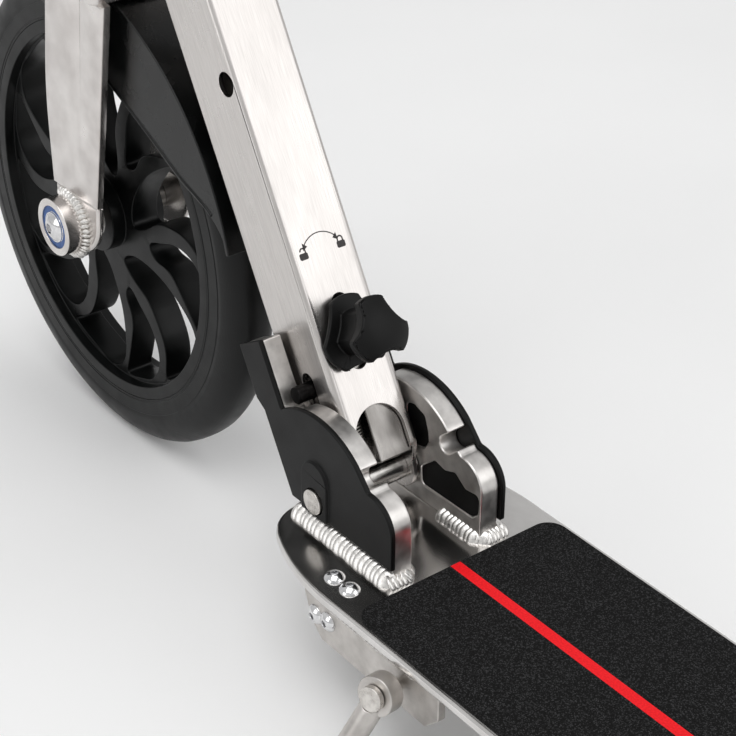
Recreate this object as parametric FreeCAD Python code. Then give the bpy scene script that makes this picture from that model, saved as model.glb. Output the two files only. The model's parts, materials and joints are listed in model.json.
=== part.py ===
"""Folding kick scooter: a low aluminium deck, a folding neck and a telescopic steering column.

Millimetres. +X is forward, +Y is left, +Z is up. The origin is on the ground, under the middle
of the wheelbase. The scooter is unfolded, with its lock drawn clear and its kickstand down.
"""
import FreeCAD, Part
import os
from math import cos, hypot, radians, sin, sqrt

# ---- driving dimensions -----------------------------------------------------------------
WHEELBASE = 746.0
WHEEL_R = 125.0
TYRE_WIDTH = 26.0
TYRE_BEAD_R = 99.0           # where the tyre sits on the rim
TREAD_EDGE_R = 109.0         # where the flat sidewall turns into the tread
RIM_INNER_R = 92.5
HUB_R = 19.0
HUB_HALF = 15.0
SPOKES = 6
SPOKE_HALF = 7.5

DECK_TOP = 59.4
DECK_PLATE = 5.0
DECK_HALF = 58.5
DECK_FRONT = 185.0
DECK_REAR = -222.0
RAIL_BOTTOM = 34.0
TAPE_THICK = 0.9
TAPE_HALF = 55.7
TAPE_FRONT = 106.2
TAPE_REAR = -205.0
STRIPE_WIDTH = 5.45
DECK_SCREWS_X = (131.0, 120.4)
DECK_SCREWS_Y = 46.4
SCREW_R = 2.5

TUBE_ANGLE = 60.2            # down tube above the horizontal, degrees
TUBE_DEPTH = 35.85
TUBE_WIDTH = 34.7
TUBE_WALL = 2.4
TUBE_CORNER = 2.6
AXLE_TO_TUBE = 156.5         # front axle to the down tube's centreline
PIVOT_S = -147.5             # fold pivot, along the centreline from the axle's foot on it
FOLD_TRAVEL = 79.3

CHEEK_GAP = 38.5             # between the two cheeks
CHEEK_THICK = 10.1
CHEEK_ARC_R = 41.0
NOTCH_FLOOR_R = 30.6
NOTCH_WIDTH = 8.6
LOBE_R = 13.4
LOBE_CENTRE = (-37.9, 8.5)   # from the pivot
ARM_FRONT = 22.3             # ahead of the tube's centreline
ARM_REAR = 6.4
ARM_TOP = 73.6               # along the tube from the pivot
BODY_FRONT = 19.0
COVER_MARGIN = 1.9           # cover stands out past the cheek's edge
COVER_THICK = 2.6

PIVOT_R = 5.0
SLEEVE_R = 6.5
PIN_R = 4.0
PIN_RAISED_R = 46.3          # lock pin from the pivot, lock drawn
LOCK_TRAVEL = 11.4
STEM_S = 65.3                # knob's stem from the pivot, lock drawn
PIN_SLOT = (34.6, 49.7)      # ends of the slots that guide the pin and the stem
STEM_SLOT = (53.7, 79.7)
SLOT_HALF = 4.3
ARCH_HALF, ARCH_S = 13.0, 19.5   # opening at the foot of the tube's rear wall
SIDE_HOLE = (-11.0, 183.4)
SIDE_HOLE_R = 5.5

STEER_TILT = 10.0            # steering axis behind the vertical, degrees
CROWN_HALF = 33.0
DROPOUT_INNER = 24.0
DROPOUT_OUTER = 28.0
LEG_INNER = 25.0
LEG_OUTER = 29.5
LEG_LOW = 18.0               # foot of a fork leg, above the axle
CROWN_LOW, CROWN_TOP = 132.2, 157.0
HEAD_R = 22.0
HEAD_LOW, HEAD_TOP = 171.0, 299.0
NECK_MEETS_HEAD = 244.4      # up the steering axis from the front axle
COLUMN_R, COLUMN_BORE = 17.0, 14.65
COLUMN_TOP = 590.0
STEM_R, STEM_BORE = 14.3, 12.0
STEM_LOW, STEM_TOP = 470.0, 958.0
BAR_HEIGHT = 945.0
BAR_R = 12.7
BAR_HALF = 252.0
GRIP_R = 16.5
GRIP_LENGTH = 122.0
AXLE_R = 4.0
BOSS_R = 14.9
RUNNING = 0.05               # radial clearance of a running fit
GAP = 0.3

PLATE_IN, PLATE_OUT = 20.0, 25.8     # rear plates, from the centreline
BRAKE_HINGE_R, BRAKE_HINGE_ANGLE = 138.0, -18.0
REAR_FENDER_R = 136.0
FRONT_FENDER_R = 129.5

KICK_PIVOT = (78.0, 63.0, 40.0)
KICK_AXIS = (-0.217, 0.958, 0.187)
KICK_LEG = (0.15, 0.5, -0.853)
KICK_BOLT_R = 3.0
KICK_FOOT_R = 6.0
BRACKET_Y = 50.0
BRACKET_THICK = 4.0
BRACKET_SCREWS = ((134.3, 41.2), (125.5, 42.6))
LEVER_AT = (27.0, 19.6)      # clamp lever's pin, ahead and left of the column
BUTTON_Y = 36.0

# ---- places worked out from them --------------------------------------------------------
FRONT = (WHEELBASE / 2, 0.0, WHEEL_R)
REAR = (-WHEELBASE / 2, 0.0, WHEEL_R)
A = radians(TUBE_ANGLE)
PIVOT = (FRONT[0] + PIVOT_S * cos(A) - AXLE_TO_TUBE * sin(A), 0.0,
         FRONT[2] + PIVOT_S * sin(A) + AXLE_TO_TUBE * cos(A))
FOLD_ANGLE = TUBE_ANGLE + FOLD_TRAVEL
CHEEK_IN = CHEEK_GAP / 2
CHEEK_OUT = CHEEK_IN + CHEEK_THICK
DECK_FROM_PIVOT = DECK_TOP - PIVOT[2]
BRAKE_HINGE = (REAR[0] + BRAKE_HINGE_R * cos(radians(BRAKE_HINGE_ANGLE)), 0.0,
               REAR[2] + BRAKE_HINGE_R * sin(radians(BRAKE_HINGE_ANGLE)))

parts = {}


# ---- shapes -----------------------------------------------------------------------------
def vec(x, y, z):
    return FreeCAD.Vector(x, y, z)


def box(x0, x1, y0, y1, z0, z1):
    return Part.makeBox(x1 - x0, y1 - y0, z1 - z0, vec(x0, y0, z0))


def rod(start, direction, radius, length):
    return Part.makeCylinder(radius, length, vec(*start), vec(*direction))


def ring(start, direction, outer, inner, length):
    return rod(start, direction, outer, length).cut(rod(start, direction, inner, length))


def across(x, z, radius, y0, y1):
    """A round bar along Y."""
    return rod((x, y0, z), (0, 1, 0), radius, y1 - y0)


def outline(start, steps, y):
    """A closed outline in XZ: each step is (x, z) for a line, or ((xm, zm), (x, z)) for an arc."""
    edges = []
    here = start
    for step in list(steps) + [start]:
        if isinstance(step[0], tuple):
            middle, there = step
            arc = Part.Arc(vec(here[0], y, here[1]), vec(middle[0], y, middle[1]),
                           vec(there[0], y, there[1]))
            edges.append(arc.toShape())
        else:
            there = step
            if hypot(there[0] - here[0], there[1] - here[1]) < 1e-6:
                continue
            edges.append(Part.makeLine(vec(here[0], y, here[1]), vec(there[0], y, there[1])))
        here = there
    return Part.Wire(edges)


def prism(start, steps, y0, y1):
    return Part.Face(outline(start, steps, y0)).extrude(vec(0, y1 - y0, 0))


def polygon(points, y0, y1):
    return prism(points[0], points[1:], y0, y1)


def is_along(edge, direction):
    """True for a straight edge along a direction."""
    if not isinstance(edge.Curve, Part.Line):
        return False
    run = edge.Vertexes[-1].Point - edge.Vertexes[0].Point
    return abs(abs(run.normalize().dot(vec(*direction))) - 1) < 1e-6


def round_along(shape, direction, radius):
    """Round the straight edges that run along a direction."""
    return shape.makeFillet(radius, [e for e in shape.Edges if is_along(e, direction)])


def turned(shape, centre, axis, angle):
    copy = shape.copy()
    copy.rotate(vec(*centre), vec(*axis), angle)
    return copy


def mirrored(shape):
    return shape.mirror(vec(0, 0, 0), vec(0, 1, 0))


def both_sides(shape):
    return Part.makeCompound([shape, mirrored(shape)])


def in_tube(shape):
    """From the down tube's frame (Z up the tube from the pivot, X ahead of it) to the scooter's."""
    placed = shape.copy()
    placed.rotate(vec(0, 0, 0), vec(0, 1, 0), 90 - TUBE_ANGLE)
    placed.translate(vec(*PIVOT))
    return placed


def in_column(shape):
    """From the steering frame (Z up the column from the front axle) to the scooter's."""
    placed = shape.copy()
    placed.rotate(vec(0, 0, 0), vec(0, 1, 0), -STEER_TILT)
    placed.translate(vec(*FRONT))
    return placed


def at_pivot(shape):
    placed = shape.copy()
    placed.translate(vec(PIVOT[0], 0, PIVOT[2]))
    return placed


def moved(shape, place):
    placed = shape.copy()
    placed.translate(vec(*place))
    return placed


def polar(radius, angle):
    return (radius * cos(radians(angle)), radius * sin(radians(angle)))


# ---- wheels -----------------------------------------------------------------------------
def spun(points, arcs):
    """Turn a (y, r) section about the Y axis. Steps listed in arcs pass through their own middle."""
    edges = []
    for i, here in enumerate(points):
        there = points[(i + 1) % len(points)]
        a, b = vec(here[1], here[0], 0), vec(there[1], there[0], 0)
        if i in arcs:
            middle = arcs[i]
            edges.append(Part.Arc(a, vec(middle[1], middle[0], 0), b).toShape())
        else:
            edges.append(Part.makeLine(a, b))
    face = Part.Face(Part.Wire(edges))
    return face.revolve(vec(0, 0, 0), vec(0, 1, 0), 360)


def window(points):
    """A rounded window through the spokes, from a few (radius, angle) points."""
    places = [polar(r, a) for r, a in points]
    curve = Part.BSplineCurve()
    curve.interpolate([vec(x, -HUB_HALF - 5, z) for x, z in places], PeriodicFlag=True)
    face = Part.Face(Part.Wire([curve.toShape()]))
    return face.extrude(vec(0, 2 * HUB_HALF + 10, 0))


def spoked_rim():
    half = TYRE_WIDTH / 2
    band = spun([(-half, RIM_INNER_R), (half, RIM_INNER_R), (half, TYRE_BEAD_R),
                 (-half, TYRE_BEAD_R)], {})
    web = across(0, 0, RIM_INNER_R + 1, -SPOKE_HALF, SPOKE_HALF)
    large = window([(90, 209), (84, 204.5), (69, 201), (52, 200), (38, 204), (28, 216),
                    (26.5, 236), (34, 235), (49, 226.5), (66, 227), (80, 231.5), (89.5, 236.5),
                    (91, 223)])
    small = window([(89, 246), (76, 236), (61, 234.5), (49, 238), (40.5, 245), (43, 250),
                    (55, 250.5), (70, 256), (84, 261.5), (90, 263), (90.5, 254)])
    for i in range(SPOKES):
        for hole in (large, small):
            web = web.cut(turned(hole, (0, 0, 0), (0, 1, 0), i * 360 / SPOKES))
    hub = across(0, 0, HUB_R, -HUB_HALF, HUB_HALF)
    rim = band.fuse(web).fuse(hub)
    rim = rim.cut(across(0, 0, 8.0, -HUB_HALF - 1, HUB_HALF + 1))
    for y0 in (-HUB_HALF - 1, HUB_HALF - 7):
        rim = rim.cut(across(0, 0, 11.0, y0, y0 + 8))
    return rim.removeSplitter()


def tyre():
    half = TYRE_WIDTH / 2
    tread = 5.0
    shoulder = (half - 2.2, WHEEL_R - 5.4)
    points = [(-half, TYRE_BEAD_R), (half, TYRE_BEAD_R), (half, TREAD_EDGE_R),
              (tread, WHEEL_R), (-tread, WHEEL_R), (-half, TREAD_EDGE_R)]
    return spun(points, {2: shoulder, 4: (-shoulder[0], shoulder[1])})


def wheel(end, place):
    bearings = both_sides(ring((0, HUB_HALF - 7, 0), (0, 1, 0), 11.0, AXLE_R + RUNNING, 7))
    tube = ring((0, 7 - HUB_HALF, 0), (0, 1, 0), 6.0, AXLE_R + GAP, 2 * HUB_HALF - 14)
    parts[end + "_rim"] = moved(spoked_rim(), place)
    parts[end + "_tyre"] = moved(tyre(), place)
    parts[end + "_wheel_bearings"] = moved(bearings, place)
    parts[end + "_bearing_spacer"] = moved(tube, place)


wheel("front", FRONT)
wheel("rear", REAR)


# ---- deck -------------------------------------------------------------------------------
def level_plate(start, steps, z0, z1):
    """A level plate: an outline in (x, y) on the left of the centreline, joined to its mirror image."""
    left = turned(prism(start, steps, -z1, -z0), (0, 0, 0), (1, 0, 0), -90)
    return left.fuse(mirrored(left)).removeSplitter()


def deck():
    low = DECK_TOP - DECK_PLATE
    nose = DECK_FRONT
    plate = level_plate((nose, 0), [(nose, 26.0),
                                    ((nose - 6, 42.0), (nose - 15, 48.5)),
                                    ((nose - 38, 56.0), (nose - 70, DECK_HALF)),
                                    (DECK_REAR + 14, DECK_HALF),
                                    ((DECK_REAR + 4.1, DECK_HALF - 4.1), (DECK_REAR, DECK_HALF - 14)),
                                    (DECK_REAR, 0)], low, DECK_TOP)
    side = [e for e in plate.Edges if abs(e.BoundBox.ZMax - e.BoundBox.ZMin) < 1e-6]
    plate = plate.makeFillet(1.6, side)
    rail = box(DECK_REAR + 4, 118.0, 26.0, 40.0, RAIL_BOTTOM, low)
    rail = rail.cut(box(DECK_REAR, 122.0, 28.5, 37.5, RAIL_BOTTOM + 2.5, low - 2.0))
    body = plate.fuse(rail).fuse(mirrored(rail))
    for x in DECK_SCREWS_X:
        body = body.cut(rod((x, DECK_SCREWS_Y, low - 1), (0, 0, 1), 2.7, DECK_PLATE + 2))
    return body.removeSplitter()


def rounded_sheet(x0, x1, half, radius, z0, z1):
    return round_along(box(x0, x1, -half, half, z0, z1), (0, 0, 1), radius)


def dome_screw(length):
    """A domed socket screw standing on z = 0: head above, shank below, hexagon socket."""
    dome = Part.makeSphere(5.6, vec(0, 0, -2.6)).common(box(-6, 6, -6, 6, 0, 4))
    head = dome.fuse(rod((0, 0, 0), (0, 0, 1), 4.75, 0.8))
    screw = head.fuse(rod((0, 0, -length), (0, 0, 1), 2.5, length))
    corners = [vec(*polar(1.75, 60 * i), 1.0) for i in range(7)]
    socket = Part.Face(Part.makePolygon(corners)).extrude(vec(0, 0, 4))
    return screw.cut(socket).removeSplitter()


parts["deck_plate"] = deck()
stripe_half = STRIPE_WIDTH / 2
tape = rounded_sheet(TAPE_REAR, TAPE_FRONT, TAPE_HALF, 9.0, DECK_TOP, DECK_TOP + TAPE_THICK)
channel = box(TAPE_REAR - 1, TAPE_FRONT + 1, -stripe_half, stripe_half, DECK_TOP, DECK_TOP + 2)
parts["grip_tape"] = tape.cut(channel)
parts["tape_stripe"] = box(TAPE_REAR, TAPE_FRONT, -stripe_half, stripe_half,
                           DECK_TOP, DECK_TOP + TAPE_THICK)


# ---- cheeks and their covers ------------------------------------------------------------
def along_tube(ahead, up):
    """A point in the tube's frame, as (x, z) from the pivot."""
    return (ahead * sin(A) + up * cos(A), -ahead * cos(A) + up * sin(A))


def cheek_profile(margin, bottom, y0, y1):
    """The side plate, grown outwards by margin: arm, arc about the pivot, rear lobe."""
    arc_r = CHEEK_ARC_R + margin
    lobe_r = LOBE_R + margin
    arm_rear = ARM_REAR - margin
    arm_front = ARM_FRONT
    front = BODY_FRONT
    arm_base = sqrt(arc_r ** 2 - arm_rear ** 2)
    arc_end = polar(arc_r, FOLD_ANGLE - 9.0)
    arc_mid = polar(arc_r, (TUBE_ANGLE + FOLD_ANGLE) / 2)
    lobe_top = (LOBE_CENTRE[0] + lobe_r * cos(radians(84)),
                LOBE_CENTRE[1] + lobe_r * sin(radians(84)))
    lobe_mid = (LOBE_CENTRE[0] + lobe_r * cos(radians(138)),
                LOBE_CENTRE[1] + lobe_r * sin(radians(138)))
    lobe_low = (LOBE_CENTRE[0] - lobe_r, LOBE_CENTRE[1])
    front_low = along_tube(front, (bottom + front * cos(A)) / sin(A))
    start = along_tube(arm_rear, ARM_TOP + margin * 0.3)
    steps = [along_tube(arm_rear, arm_base),
             (arc_mid, arc_end),
             lobe_top,
             (lobe_mid, lobe_low),
             (lobe_low[0], bottom),
             front_low,
             along_tube(front, 43.0),
             along_tube(arm_front, 49.0),
             along_tube(arm_front, ARM_TOP + margin * 0.3)]
    return prism(start, steps, y0, y1)


def notch(angle):
    """The slot that takes the lock pin, open outwards, at one angle about the pivot."""
    half = NOTCH_WIDTH / 2
    floor = NOTCH_FLOOR_R + half
    slot = across(0, 0, half, -60, 60)
    slot.translate(vec(floor, 0, 0))
    slot = slot.fuse(box(floor, CHEEK_ARC_R + 14, -60, 60, -half, half))
    return turned(slot, (0, 0, 0), (0, 1, 0), -angle)


def cheek():
    plate = cheek_profile(0.0, DECK_FROM_PIVOT, CHEEK_IN, CHEEK_OUT)
    plate = plate.cut(notch(TUBE_ANGLE)).cut(notch(FOLD_ANGLE))
    lower = prism((-10.2, 2.4), [(-19.3, 10.4), (-26.4, 8.8), (-33.3, 11.3), (-40.5, 6.4),
                                 (-49.4, 7.5), (-49.2, -2.0), (-45.0, -5.6), (-11.0, -6.4)],
                  CHEEK_IN - 1, CHEEK_OUT - 2.4)
    upper = prism((0.8, 31.0), [(-4.4, 32.3), (-11.6, 30.0), (-14.0, 23.2), (-14.7, 18.2),
                                (-12.1, 13.4), (-4.0, 11.5), (0.8, 13.0)],
                  CHEEK_IN - 1, CHEEK_OUT - 2.4)
    plate = plate.cut(round_along(lower, (0, 1, 0), 2.2)).cut(round_along(upper, (0, 1, 0), 2.2))
    plate = plate.cut(across(0, 0, PIVOT_R, 0, 60))
    return at_pivot(plate)


def cover():
    low = DECK_FROM_PIVOT + 8.1
    outer = CHEEK_OUT + COVER_THICK
    shell = cheek_profile(COVER_MARGIN, low, CHEEK_OUT, outer)
    boss = prism((-9.25, low), [(9.25, low), (9.25, 10.6), ((0, 19.85), (-9.25, 10.6))],
                 CHEEK_OUT, outer + 1.3)
    shell = shell.fuse(boss).cut(across(0, 0, 6.3, 0, 60))
    return at_pivot(shell.removeSplitter())


parts["cheeks"] = both_sides(cheek())
parts["cheek_covers"] = both_sides(cover())

# The stop that the tube leans on, between the two arms.
parts["front_stop"] = in_tube(round_along(box(TUBE_DEPTH / 2 + 0.4, ARM_FRONT, -CHEEK_IN, CHEEK_IN,
                                              44.0, 70.0), (0, 1, 0), 1.2))

bolt = across(0, 0, PIVOT_R, -CHEEK_OUT - 3.0, CHEEK_OUT + 3.0)
bolt = bolt.fuse(across(0, 0, 6.0, CHEEK_OUT + 3.0, CHEEK_OUT + 5.0))
nut = across(0, 0, 6.0, -CHEEK_OUT - 5.0, -CHEEK_OUT - 3.0)
parts["pivot_bolt"] = at_pivot(Part.makeCompound([bolt, nut]))


def bead(x0, x1, y, radius, side):
    """A fillet weld along X, in the corner between the deck and an upright face at y."""
    bar = rod((x0, y, DECK_TOP), (1, 0, 0), radius, x1 - x0)
    y0, y1 = (y, y + radius + 1) if side > 0 else (y - radius - 1, y)
    return bar.common(box(x0, x1, y0, y1, DECK_TOP, DECK_TOP + radius + 1))


def cross_bead(x, y0, y1, radius):
    """A fillet weld along Y, behind an upright face at x."""
    bar = across(x, DECK_TOP, radius, y0, y1)
    return bar.common(box(x - radius - 1, x, y0, y1, DECK_TOP, DECK_TOP + radius + 1))


heel = PIVOT[0] + LOBE_CENTRE[0] - LOBE_R
toe = PIVOT[0] + along_tube(BODY_FRONT, (DECK_FROM_PIVOT + BODY_FRONT * cos(A)) / sin(A))[0]
weld_out = bead(heel, toe, CHEEK_OUT, 7.6, 1)
weld_back = cross_bead(heel, CHEEK_IN, CHEEK_OUT, 5.6)
weld_in = bead(heel, heel + 22.0, CHEEK_IN, 5.6, -1)
beads = [weld_out, weld_back, weld_in]

# ---- kickstand bracket, under the deck's left edge ---------------------------------------
bracket_out = BRACKET_Y + BRACKET_THICK
plate_low = DECK_TOP - DECK_PLATE
bracket = box(52.0, 143.0, 40.0, bracket_out, plate_low - 3.5, plate_low)
skirt = polygon([(143.0, 50.9), (137.5, 36.0), (131.0, 30.0), (60.0, 30.0), (52.0, 38.0),
                 (52.0, 50.9)], BRACKET_Y, bracket_out)
bracket = bracket.fuse(skirt)
for x in DECK_SCREWS_X:
    bracket = bracket.cut(rod((x, DECK_SCREWS_Y, 40), (0, 0, 1), SCREW_R + RUNNING, 20))
for x, z in BRACKET_SCREWS:
    bracket = bracket.cut(across(x, z, SCREW_R + RUNNING, BRACKET_Y - 1, BRACKET_Y + 5))
hinge = vec(*KICK_PIVOT)
hinge_line = vec(*KICK_AXIS).normalize()


def on_hinge(radius, along, length):
    """A round bar on the kickstand's hinge line, starting at a distance along it."""
    return Part.makeCylinder(radius, length, hinge + hinge_line * along, hinge_line)


parts["kickstand_bracket"] = bracket.cut(on_hinge(KICK_BOLT_R + RUNNING, -25, 30)).removeSplitter()
heads = []
for x, z in BRACKET_SCREWS:
    heads.append(moved(turned(dome_screw(4.0), (0, 0, 0), (1, 0, 0), -90), (x, bracket_out, z)))
deck_screws = [moved(dome_screw(12.0), (x, DECK_SCREWS_Y, DECK_TOP)) for x in DECK_SCREWS_X]
parts["dome_screws"] = Part.makeCompound(deck_screws + heads)
bracket_bead = rod((64.0, bracket_out, plate_low), (1, 0, 0), 5.0, 52.0)
bracket_bead = bracket_bead.common(box(60, 120, bracket_out, bracket_out + 6, 48, plate_low))
parts["deck_welds"] = Part.makeCompound(beads + [mirrored(b) for b in beads] + [bracket_bead])

leg_line = vec(*KICK_LEG).normalize()
leg_length = (KICK_PIVOT[2] - KICK_FOOT_R) / -leg_line.z
foot_centre = hinge + leg_line * leg_length
stand = on_hinge(9.0, -4, 8).fuse(Part.makeCylinder(5.4, leg_length, hinge, leg_line))
stand = stand.cut(on_hinge(KICK_BOLT_R + RUNNING, -20, 40)).cut(on_hinge(6.0, 4, 8))
stand = stand.cut(Part.makeSphere(KICK_FOOT_R, foot_centre))
parts["kickstand_leg"] = stand.removeSplitter()
parts["kickstand_foot"] = Part.makeSphere(KICK_FOOT_R, foot_centre)
parts["kickstand_bolt"] = on_hinge(KICK_BOLT_R, -15, 21).fuse(on_hinge(5.6, 4.4, 3)).removeSplitter()

# ---- rear end ---------------------------------------------------------------------------
tab_x, tab_z = BRAKE_HINGE[0], BRAKE_HINGE[2]
arm = polygon([(-100, 37), (-256, 37), (-384.5, 109.8), (-361.8, 140.4), (-262, 74),
               (tab_x - 8, tab_z), (tab_x + 8, tab_z), (tab_x + 14, 54.2), (-100, 54.2)],
              PLATE_IN, PLATE_OUT)
arm = arm.fuse(across(REAR[0], REAR[2], 19.0, PLATE_IN, PLATE_OUT))
arm = arm.fuse(across(tab_x, tab_z, 8, PLATE_IN, PLATE_OUT))
arm = arm.cut(across(REAR[0], REAR[2], AXLE_R, 0, 40)).cut(across(tab_x, tab_z, 3.0, 0, 40))
parts["rear_plates"] = both_sides(arm.removeSplitter())


def axle_screw(y):
    """A button head on the end of an axle, with a hexagon socket."""
    dome = Part.makeSphere(10.4, vec(0, y - 6.6, 0)).common(box(-9, 9, y, y + 5, -9, 9))
    head = dome.fuse(across(0, 0, 7.8, y, y + 0.8))
    corners = [vec(polar(2.9, 60 * i)[0], y + 1.6, polar(2.9, 60 * i)[1]) for i in range(7)]
    socket = Part.Face(Part.makePolygon(corners)).extrude(vec(0, 5, 0))
    return head.cut(socket).removeSplitter()


parts["rear_axle"] = moved(across(0, 0, AXLE_R, -PLATE_OUT, PLATE_OUT), REAR)
parts["rear_axle_screws"] = moved(both_sides(axle_screw(PLATE_OUT)), REAR)
parts["rear_axle_spacers"] = moved(both_sides(ring((0, 15.3, 0), (0, 1, 0), 7, AXLE_R, 4.7)), REAR)

shell = across(0, 0, REAR_FENDER_R + 3, -18.5, 18.5).cut(across(0, 0, REAR_FENDER_R, -19, 19))
wedge = [(0, 0)] + [polar(200, a) for a in (-13, 20, 50, 80, 108)]
shell = shell.common(polygon(wedge, -20, 20))
knuckle_at = polar(BRAKE_HINGE_R, BRAKE_HINGE_ANGLE)
knuckle = across(knuckle_at[0], knuckle_at[1], 6.5, -12.0, 12.0)
web = across(0, 0, REAR_FENDER_R + 3, -12, 12).cut(across(0, 0, REAR_FENDER_R, -19, 19))
web = web.common(polygon([(0, 0), polar(200, BRAKE_HINGE_ANGLE), polar(200, -10)], -20, 20))
shell = shell.fuse(knuckle).fuse(web)
shell = shell.cut(across(knuckle_at[0], knuckle_at[1], 3.0 + RUNNING, -20, 20))
parts["rear_fender"] = moved(shell.removeSplitter(), REAR)
pad = across(0, 0, REAR_FENDER_R, -9, 9).cut(across(0, 0, WHEEL_R + 6, -19, 19))
pad = pad.common(polygon([(0, 0), polar(200, 68), polar(200, 92)], -20, 20))
parts["brake_pad"] = moved(pad, REAR)
parts["brake_hinge_pin"] = moved(across(0, 0, 3.0, -27.5, 27.5), BRAKE_HINGE)
coil = ring((0, 12.6, 0), (0, 1, 0), 5.0, 3.2, 5.6)
parts["brake_springs"] = moved(both_sides(coil), BRAKE_HINGE)

# ---- neck -------------------------------------------------------------------------------
half_d, half_w = TUBE_DEPTH / 2, TUBE_WIDTH / 2
head_at = (FRONT[0] - sin(radians(STEER_TILT)) * NECK_MEETS_HEAD, 0,
           FRONT[2] + cos(radians(STEER_TILT)) * NECK_MEETS_HEAD)
neck_length = hypot(head_at[0] - PIVOT[0], head_at[2] - PIVOT[2])
foot = [(half_d, 12.0), (half_d, neck_length), (-half_d, neck_length), (-half_d, 12.0),
        (-10.5, 0.0), ((0.0, -10.5), (10.5, 0.0))]
tube = prism(foot[0], foot[1:], -half_w, half_w)
tube = round_along(tube, (0, 0, 1), TUBE_CORNER)
inner_d, inner_w = half_d - TUBE_WALL, half_w - TUBE_WALL
tube = tube.cut(box(-inner_d, inner_d, -inner_w, inner_w, -20, neck_length + 40))
rear = -half_d - 1
arch = box(rear, rear + 7, -ARCH_HALF, ARCH_HALF, -5, ARCH_S)
arch = arch.fuse(rod((rear, 0, ARCH_S), (1, 0, 0), ARCH_HALF, 7))
tube = tube.cut(arch)
tube = tube.cut(box(half_d - 6, half_d + 1, -ARCH_HALF, ARCH_HALF, -5, 13))
pin_slot = box(-SLOT_HALF, SLOT_HALF, -20, 20, *PIN_SLOT)
for z in PIN_SLOT:
    pin_slot = pin_slot.fuse(across(0, z, SLOT_HALF, -20, 20))
tube = tube.cut(pin_slot)
stem_slot = box(rear, rear + 7, -SLOT_HALF, SLOT_HALF, *STEM_SLOT)
for z in STEM_SLOT:
    stem_slot = stem_slot.fuse(rod((rear, 0, z), (1, 0, 0), SLOT_HALF, 7))
tube = tube.cut(stem_slot)
tube = tube.cut(across(0, 0, PIVOT_R + RUNNING, -30, 30))
tube = tube.cut(across(*SIDE_HOLE, SIDE_HOLE_R, 0, 30))
head_solid = in_column(rod((0, 0, HEAD_LOW), (0, 0, 1), HEAD_R, HEAD_TOP - HEAD_LOW))
parts["down_tube"] = in_tube(tube).cut(head_solid)
parts["head_tube"] = in_column(ring((0, 0, HEAD_LOW), (0, 0, 1), HEAD_R, HEAD_R - 3,
                                    HEAD_TOP - HEAD_LOW))
cups = [ring((0, 0, HEAD_LOW - 9), (0, 0, 1), 24, COLUMN_R + 0.6, 9),
        ring((0, 0, HEAD_TOP), (0, 0, 1), 24, COLUMN_R + 0.6, 9)]
parts["headset_cups"] = in_column(Part.makeCompound(cups))
races = [ring((0, 0, HEAD_LOW + 0.5), (0, 0, 1), HEAD_R - 3, COLUMN_R + RUNNING, 8),
         ring((0, 0, HEAD_TOP - 8.5), (0, 0, 1), HEAD_R - 3, COLUMN_R + RUNNING, 8)]
parts["headset_bearings"] = in_column(Part.makeCompound(races))
sleeve = ring((0, -inner_w, 0), (0, 1, 0), SLEEVE_R, PIVOT_R + RUNNING, 2 * inner_w)
washer = ring((0, half_w, 0), (0, 1, 0), 9.5, PIVOT_R + RUNNING, CHEEK_IN - half_w - GAP)
parts["pivot_bushes"] = in_tube(Part.makeCompound([sleeve, washer, mirrored(washer)]))

# ---- lock -------------------------------------------------------------------------------
block = box(-inner_d + 0.5, inner_d - 0.5, -inner_w + 0.4, inner_w - 0.4, 6.5, 76.0)
block = block.cut(box(-SLEEVE_R - 0.7, SLEEVE_R + 0.7, -30, 30, 0, 12.6))
block = block.cut(across(0, 12.6, SLEEVE_R + 0.7, -30, 30))
block = block.cut(box(-30, -3.4, 3.2, 30, 0, 38.0))
block = block.cut(across(0, PIN_RAISED_R, PIN_R, -30, 30))
block = block.cut(rod((-30, 0, STEM_S), (1, 0, 0), 4.0, 42))
parts["lock_block"] = in_tube(block.removeSplitter())
parts["lock_pin"] = in_tube(across(0, PIN_RAISED_R, PIN_R, -25.5, 25.5))
parts["lock_stem"] = in_tube(rod((-42, 0, STEM_S), (1, 0, 0), 4.0, 54))
spring = ring((-9.4, 9.2, 13.0), (0, 0, 1), 5.0, 3.8, 24.8)
parts["lock_spring"] = in_tube(spring)


def lobed(x0, x1, corner, waist):
    """A disc about the X axis with three blunt lobes: radius at their corners and between them."""
    def at(radius, angle):
        return vec(x0, *polar(radius, angle))

    edges = []
    for lobe in (90, 210, 330):
        first, last = at(corner, lobe - 26), at(corner, lobe + 26)
        edges.append(Part.Arc(first, at(corner * 1.01, lobe), last).toShape())
        edges.append(Part.Arc(last, at(waist, lobe + 60), at(corner, lobe + 94)).toShape())
    disc = Part.Face(Part.Wire(edges)).extrude(vec(x1 - x0, 0, 0))
    return round_along(disc, (1, 0, 0), 1.6)


knob = lobed(-22.8, -20.2, 17.5, 13.4).fuse(lobed(-39.0, -22.8, 10.4, 8.0))
outer = lobed(-45.5, -38.0, 14.9, 10.0).common(Part.makeSphere(33, vec(-12.5, 0, 0)))
knob = knob.fuse(outer)
knob = knob.cut(rod((-42.2, 0, 0), (1, 0, 0), 4.0 + RUNNING, 30))
knob.translate(vec(0, 0, STEM_S))
parts["lock_knob"] = in_tube(knob.removeSplitter())

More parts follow.
